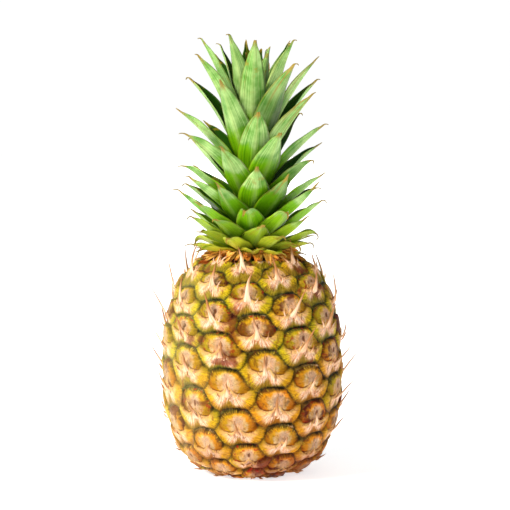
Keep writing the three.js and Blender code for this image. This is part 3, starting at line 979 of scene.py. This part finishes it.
# The forms at some leaves, counted from the lowest; millimetres, and the arch as a share of the length
FORM_PLACES = [0, 7, 20, 33, 46, 59, 66, 72, 77, 84]
FORMS = {
    "root_height": [2.5, 3.5, 7, 14, 28, 47, 53, 57, 59, 61],
    "tip_radius": [37, 40, 44, 48, 48, 48, 47, 40, 29, 7],
    "tip_height": [7, 11.5, 27.5, 43, 64, 96, 124, 144, 147, 138],
    "width": [15, 18, 20, 20, 21.5, 22, 21, 20, 17.5, 12],
    "arch": [-0.02, -0.04, -0.07, -0.06, -0.02, 0.03, 0.05, 0.05, 0.03, 0],
}

leaves = np.arange(LEAF_COUNT)[:, None, None]
form = {key: np.interp(leaves, FORM_PLACES, values) for key, values in FORMS.items()}
form["tip_radius"] = form["tip_radius"] * (1 + sway(leaves, 2, 0.07))
form["tip_height"] = form["tip_height"] + sway(leaves, 3, 3)
leaf_azimuth = LEAF_START + LEAF_TURN * (leaves - FRONT_LEAF) + sway(leaves, 1, 4)
print("leaf tips from", form["tip_height"].min().round(1), "to", form["tip_height"].max().round(1), "mm up")

# %% Leaf centrelines
BLADE_STATIONS = 26
THREAD_STATIONS = 9


def stem_radius(height):
    """The stem tapers from its foot to its tip, faster near the tip."""
    return lerp(STEM_RADIUS, STEM_TIP_RADIUS, np.clip(height / STEM_HEIGHT, 0, 1) ** 1.3)


def leaf_centrelines():
    """Radius, height and direction along every leaf, from its root to the end of its dry thread.

    The blade is a quadratic curve: start, a middle pushed sideways by the arch, and tip, which hooks
    down by the square of the way past HOOK_START. The thread goes on from it in short steps whose
    direction turns outwards and down.
    """
    along = np.linspace(0, 1, BLADE_STATIONS)[None, :, None]
    start_height = form["root_height"]
    start_radius = stem_radius(start_height) * 0.55
    run = form["tip_radius"] - start_radius
    climb = form["tip_height"] - start_height
    middle_radius = start_radius + run / 2 - climb * 2 * form["arch"]
    middle_height = start_height + climb / 2 + run * 2 * form["arch"]
    ways = ((1 - along) ** 2, 2 * along * (1 - along), along**2)
    radius = ways[0] * start_radius + ways[1] * middle_radius + ways[2] * form["tip_radius"]
    height = ways[0] * start_height + ways[1] * middle_height + ways[2] * form["tip_height"]
    past = np.maximum(along - HOOK_START, 0) / (1 - HOOK_START)
    hook = HOOK_DROP * draw(leaves, 47) ** 2 * smoothstep(leaves, 66, 40) * past**2
    height = height - hook
    radius = radius - 0.5 * hook
    slope = np.arctan2(np.gradient(height, axis=1), np.gradient(radius, axis=1))
    step = np.linspace(0, 1, THREAD_STATIONS + 1)[None, 1:, None]
    curl = np.radians(lerp(-10, 150, draw(leaves, 41) ** 1.5))
    thread_slope = slope[:, -1:] - curl * step
    length = lerp(0.35, 0.75, draw(leaves, 42)) * lerp(1, 0.6, leaves / LEAF_COUNT)
    radius = np.concatenate([radius, radius[:, -1:] + np.cumsum(np.cos(thread_slope) * length, 1)], 1)
    height = np.concatenate([height, height[:, -1:] + np.cumsum(np.sin(thread_slope) * length, 1)], 1)
    return radius, height, np.concatenate([slope, thread_slope], 1)

# %% Leaf faces
ACROSS_POINTS = 11
THREAD_HALF = 1.8  # half the width at which a leaf's point runs into its thread
THREAD_START = 0.86
THREAD_LENGTH = 0.24


def leaf_faces():
    """Points and two maps of every leaf's closed surface, outer face first and then the inner one."""
    radius, height, slope = leaf_centrelines()
    blade = np.linspace(0, 1, BLADE_STATIONS)
    thread = 1 + 0.1 * np.linspace(0, 1, THREAD_STATIONS + 1)[1:]
    along = np.concatenate([blade, thread])[None, :, None]
    towards_tip = np.clip((along - WIDEST_SHARE) / (1 - WIDEST_SHARE), 0, 1)
    lance = 1 - towards_tip ** lerp(2.0, 1.4, smoothstep(leaves / LEAF_COUNT, 0.1, 0.6))
    tongue = (1 - towards_tip**2) ** 0.8
    broad = lerp(0.75, 1, smoothstep(along, 0, WIDEST_SHARE))
    broad = broad * lerp(lance, tongue, 0.8 * smoothstep(leaves / LEAF_COUNT, 0.5, 0.9))
    thinned = np.clip((along - THREAD_START) / THREAD_LENGTH, 0, 1)
    thread_half = THREAD_HALF * (1 - thinned) ** 0.6
    half = np.maximum(form["width"] / 2 * broad, thread_half) * between_ends(along)
    face_across, inner = two_faces(ACROSS_POINTS)
    fold = np.sqrt(face_across**2 + 0.012) - np.sqrt(0.012)
    wave = 0.35 * np.sin(along * 17 + draw(leaves, 43) * 6) * face_across * np.abs(face_across)
    thickness = LEAF_THICKNESS * lerp(1.1, 0.7, along) * np.clip(half / 4, 0.4, 1) * between_ends(along)
    keel = 2 * half * LEAF_KEEL * (1 + along**3) * fold
    depth = wave * np.clip(half / 6, 0, 1) - keel - inner * thickness * (1 - face_across**2)
    lean = sway(leaves, 4, 4) * along**2 + sway(leaves, 48, 7) * np.maximum(along - HOOK_START, 0)
    side = half * face_across + lean
    out_radius = np.sin(slope) * depth
    out_height = -np.cos(slope) * depth
    turn = np.radians(leaf_azimuth)
    forward = radius + out_radius
    points = np.stack(
        np.broadcast_arrays(
            forward * np.sin(turn) + side * np.cos(turn),
            -forward * np.cos(turn) + side * np.sin(turn),
            SHOULDER_HEIGHT + height + out_height,
        ),
        -1,
    )
    shape = points.shape[:3]
    face_map = stack(along + 0 * points[..., 0], face_across, inner + 0 * along)
    own_map = stack(draw(leaves, 45) + np.zeros(shape), leaves / LEAF_COUNT, draw(leaves, 46))
    return points, face_map, own_map

# %% Stem and crown


def stem_core(stations=14, sides=25):
    """Points of the short stem inside the crown, from its root in the fruit to its tip, both closed."""
    heights = np.concatenate([[STEM_ROOT, STEM_ROOT], np.linspace(0, STEM_HEIGHT, stations), [STEM_HEIGHT]])
    radii = stem_radius(heights) * 0.95
    radii[[0, -1]] = 0
    return around(np.linspace(0, 360, sides), radii[:, None], SHOULDER_HEIGHT + heights[:, None])


leaf_points, leaf_map, leaf_own_map = leaf_faces()
leaf_quads = grid_faces(LEAF_COUNT, *leaf_points.shape[1:3])[:, ::-1]
core = stem_core()
core_quads = grid_faces(1, *core.shape[:2]) + len(leaf_map)
core_map = stack(0.1, 0 * core[..., 0], 0)
crown = make_piece(
    "crown_leaves",
    np.concatenate([leaf_points.reshape(-1, 3), core.reshape(-1, 3)]),
    np.concatenate([leaf_quads, core_quads]),
    {
        "leaf": np.concatenate([leaf_map, core_map]),
        "leaf_own": np.concatenate([leaf_own_map, core_map]),
    },
)

# %% [markdown]
# ## Colours of the leaves
# The outer face of a leaf wears a pale waxy bloom over its upper part. The bloom ends in a scalloped
# line, and below it, where the next leaf kept it covered, the green is bright and glossy. The inner face
# is dark. The lowest leaves are yellower and bare, and every tip has dried to tan.

# %% Leaf: maps and fibres
leaf_green, tree = new_material("pineapple_leaf")
_, along_at, across_at, inner_at = read_map(tree, "leaf")
_, own_draw, order_at, second_draw = read_map(tree, "leaf_own")
spot = object_place(tree)
fibre_place = combine(along_at, across_at, own_draw)
fibre = streaks(fibre_place, 14.0, 1.2)
broad_fibre = streaks(fibre_place, 4.0, 0.8)
cloud = noise(spot, 90.0, 3.0)

# %% Leaf: green and bloom
# Bare green, yellower on the old leaves, and the bloom over it from its scalloped line on
old = rise(order_at, 0.42, 0.08)
bright = mix(fibre, (62, 152, 0), (178, 228, 36))
bright = mix(old, bright, mix(fibre, (176, 204, 26), (244, 236, 104)))
wax = fibre * 0.45 + cloud * 0.55
bloom = mix(rise(wax, 0.32, 0.68), (88, 154, 46), (204, 234, 162))
scallop = along_at + (broad_fibre - 0.5) * 0.16 + (cloud - 0.5) * 0.3
bloom_start = rise(order_at, 0.2, 0.8, 0.82, 0.46)
bloomed = rise(scallop - bloom_start, -0.05, 0.08) * (1.0 - old * 0.8)
inner_green = mix(fibre, (12, 58, 0), (62, 112, 6))
inner_green = mix(old, inner_green, mix(fibre, (110, 146, 10), (180, 186, 46)))

# %% Leaf: shade, dry parts and the finished leaf
# Shade at the foot, leaves darker than others, and dry edges, lines and tips
pale_keel = rise(abs(across_at), 0.3, 0.0)
shaded_foot = rise(along_at, 0.34, 0.14)
darker_leaf = rise(own_draw, 0.6, 0.9) * rise(along_at, 1.0, 0.6, 0.15, 0.5)
blade_edge = rise(abs(across_at), 0.88, 1.0)
towards_point = rise(along_at, 0.5, 0.9)
scorch = rise(noise(spot, 130.0, 3.0, 0.6), 0.56, 0.66) * towards_point * rise(own_draw, 0.3, 0.6)
brown_line = rise(broad_fibre, 0.56, 0.66) * towards_point * rise(second_draw, 0.3, 0.6)
dried_more = rise(order_at, 0.75, 0.95, 0.03, 0.12)
dried = rise(along_at + (broad_fibre - 0.5) * 0.2 - dried_more, 0.86, 0.95)
leaf_colour = lay(
    bright,
    (bloomed * 0.95, bloom),
    (pale_keel * 0.3, (216, 232, 160)),
    (inner_at, inner_green),
    (shaded_foot * 0.6, (18, 74, 0)),
    (darker_leaf, (36, 92, 0)),
    (blade_edge * 0.45, (156, 152, 46)),
    (scorch * 0.6, (176, 150, 50)),
    (brown_line * 0.6, (166, 116, 46)),
    (dried, mix(fibre, (132, 108, 30), (218, 194, 110))),
)

relief = fibre + cloud * 0.4
leaf_sheen = rise(bloomed, 0.0, 1.0, 0.32, 0.5)
gloss = rise(inner_at, 0.0, 1.0, 0.22, 0.06)
finish_material(deepen(leaf_colour, 1.2), leaf_sheen, gloss, relief, depth=0.0006)
crown.data.materials.append(leaf_green)
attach(crown, "root")
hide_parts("crown")

# %% [markdown]
# ## The collar of dry bracts
# Between the fruit and the crown sit the last bracts, which never had a flower and have dried to curled
# brown paper. They are short blades that fan out all round, each with its own curl.

# %% Collar bracts
BRACT_COUNT = 130
COLLAR_TURN = 137.5  # degrees from one bract to the next
COLLAR_FOOT = 15  # the radius from which the bracts run out
FLAT_REACH = 37
UPRIGHT_REACH = 29
BRACT_HUMP = 4.6  # how high a bract rises before its tip falls or lifts


def collar_grid(stations=8, columns=7):
    """Points and map of the collar: each bract runs outwards, rises, and curls up along its sides."""
    own = np.arange(BRACT_COUNT)[:, None, None]
    along = np.linspace(0, 1, stations)[None, :, None]
    face_across, inner = two_faces(columns)
    azimuth = COLLAR_TURN * own + sway(own, 51, 5)
    upright = draw(own, 53) ** 1.5
    reach = lerp(FLAT_REACH, UPRIGHT_REACH, upright) + sway(own, 52, 2.5)
    lift = lerp(-2.5, 8, upright)
    radius = lerp(COLLAR_FOOT, reach, along)
    hump = BRACT_HUMP * np.sin(np.pi / 2 * np.minimum(along / 0.55, 1))
    height = 0.8 + hump + (lift - BRACT_HUMP) * smoothstep(along, 0.35, 1)
    height = height + sway(own, 54, 1.2) * np.sin(3 * along)
    half = lerp(3.4, 2.6, along) * np.sqrt(1 - along**3) * (1 + sway(own, 59, 0.35))
    half = half * between_ends(along)
    cup = (0.6 + 1.6 * draw(own, 55)) * face_across**2 * half / 2.5
    crumple = 0.8 * np.sin(9 * along + 5 * face_across + 6 * draw(own, 56)) * between_ends(along)
    thickness = 0.7 * (1 - face_across**2) * np.clip(half, 0, 1)
    side = half * face_across + sway(own, 57, 3) * along**2
    level = height + cup + crumple * along + inner * thickness
    turn = np.degrees(side / radius) + azimuth
    return around(turn, radius, SHOULDER_HEIGHT + level), stack(along, face_across, draw(own, 58))


collar_points, collar_map = collar_grid()
collar = make_piece(
    "collar_bracts",
    collar_points.reshape(-1, 3),
    grid_faces(BRACT_COUNT, *collar_points.shape[1:3]),
    {"collar": collar_map},
)

# %% Collar material
dry_paper, tree = new_material("dry_bract_paper")
collar_at, along_at, _, own_draw = read_map(tree, "collar")
fibre = rise(streaks(collar_at, 4.0, 1.5), 0.3, 0.7)
patch = noise(object_place(tree), 170.0, 3.0, 0.6)
brown_paper = mix(fibre, (232, 120, 14), (255, 204, 86))
amber_paper = mix(fibre, (236, 156, 30), (255, 216, 124))
collar_colour = lay(
    brown_paper,
    (rise(own_draw * 0.6 + patch * 0.8, 0.45, 0.95), amber_paper),
    (rise(along_at, 0.3, 0.0) * 0.6, (120, 50, 6)),
    (rise(along_at, 0.8, 1.0), (170, 84, 30)),
)
finish_material(collar_colour, 0.7, 0.25, fibre, depth=0.0006)
collar.data.materials.append(dry_paper)
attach(collar, "root")
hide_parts("dry_bract_ring")

# %% [markdown]
# ## The stalk's cut end
# Under the fruit is the stub of the stalk, cut through. It is wood of a kind: hundreds of fibre bundles
# that show as dots in the cut, in a paler ground, with brown flecks where it has dried. The solid's shape
# is right as it is, so it keeps it and only gets a finish.

# %% Stalk material
stalk_wood, tree = new_material("cut_stalk")
spot = object_place(tree)
bundles = wire_from(tree, "ShaderNodeTexVoronoi", "Distance", {"Vector": spot, "Scale": 700.0})
grain = noise(stretch(spot, 900.0, 900.0, 60.0), 1.0, 3.0)
stalk_colour = lay(
    mix(grain, (150, 108, 62), (204, 168, 116)),
    (rise(bundles, 0.5, 0.2), (116, 78, 44)),
    (fleck_mask(tree, 0.003, 0.5) * 0.5, (88, 58, 34)),
)
finish_material(stalk_colour, 0.8, 0.2, bundles, depth=0.0005)
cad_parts["stalk_end"].material_slots[0].material = stalk_wood

# %% [markdown]
# ## Floor, light and camera
# The fruit stands on a white sheet in a white studio. A warm, wide light comes from the left and a weaker
# one from the front, and the sheet glows a little, so it burns out to white except right under the fruit.
# A long lens looks slightly down from almost level with the fruit's middle.

# %% Floor
FLOOR_HALF = 60.0  # metres
SHEET_GLOW = 0.68  # the light that the sheet passes on from below

floor_mesh = bpy.data.meshes.new("floor")
quarters = [(-1, -1), (1, -1), (1, 1), (-1, 1)]
corners = [(x * FLOOR_HALF, y * FLOOR_HALF, 0) for x, y in quarters]
floor_mesh.from_pydata(corners, [], [(0, 1, 2, 3)])
floor = add_object("floor", floor_mesh)
white_sheet, tree = new_material("white_sheet")
sheet_inputs = {
    "Base Color": srgb(245, 245, 245),
    "Roughness": 0.9,
    "Emission Color": (0.93, 0.97, 1.0, 1.0),
    "Emission Strength": SHEET_GLOW,
}
give_shader(tree, sheet_inputs)
floor_mesh.materials.append(white_sheet)

# %% Light
SKY_LIGHT = 0.35  # how brightly the studio's walls light the fruit
SKY_SEEN = 1.02  # how bright they look

scene = bpy.context.scene
scene.view_settings.view_transform = "Standard"
world = bpy.data.worlds.new("white_studio")
world.use_nodes = True
scene.world = world
sky = world.node_tree
sky.nodes.clear()
seen = wire_from(sky, "ShaderNodeLightPath", "Is Camera Ray")
strength = rise(seen, 0.0, 1.0, SKY_LIGHT, SKY_SEEN)
walls = {"Color": (1, 1, 1, 1), "Strength": strength}
backdrop = wire_from(sky, "ShaderNodeBackground", "Background", walls)
add_node(sky, "ShaderNodeOutputWorld", {"Surface": backdrop})


def soft_sun(name, azimuth, elevation, spread, strength, colour):
    """A distant soft light: where it comes from and how wide it is, in degrees."""
    light = bpy.data.lights.new(name, "SUN")
    light.angle = np.radians(spread)
    light.energy = strength
    light.color = colour
    lamp = add_object(name, light)
    lamp.rotation_euler = (np.radians(90 - elevation), 0, np.radians(azimuth))


WARM = (1.0, 0.94, 0.82)
soft_sun("key_light", -56, 38, 18, 4.35, WARM)
soft_sun("fill_light", 5, 20, 50, 0.6, WARM)

# %% Camera
IMAGE_WIDTH = 510  # pixels
AXIS_COLUMN = 252.3  # pixel column of the fruit's axis
MM_PER_PIXEL = 0.675  # at the fruit's axis
LENS = 120
SENSOR = 36
MIDDLE_HEIGHT = 0.1472  # metres: the height in the middle of the picture
ELEVATION = np.radians(3.5)

distance = MM_PER_PIXEL * MM * IMAGE_WIDTH * LENS / SENSOR
camera_data = bpy.data.cameras.new("camera")
camera_data.lens = LENS
camera_data.sensor_width = SENSOR
camera_data.shift_x = (IMAGE_WIDTH / 2 - AXIS_COLUMN) / IMAGE_WIDTH
camera = add_object("camera", camera_data)
camera.location = (0, -distance * np.cos(ELEVATION), MIDDLE_HEIGHT + distance * np.sin(ELEVATION))
camera.rotation_euler = (np.pi / 2 - ELEVATION, 0, 0)
scene.camera = camera
print("camera stands", round(distance, 3), "m away")
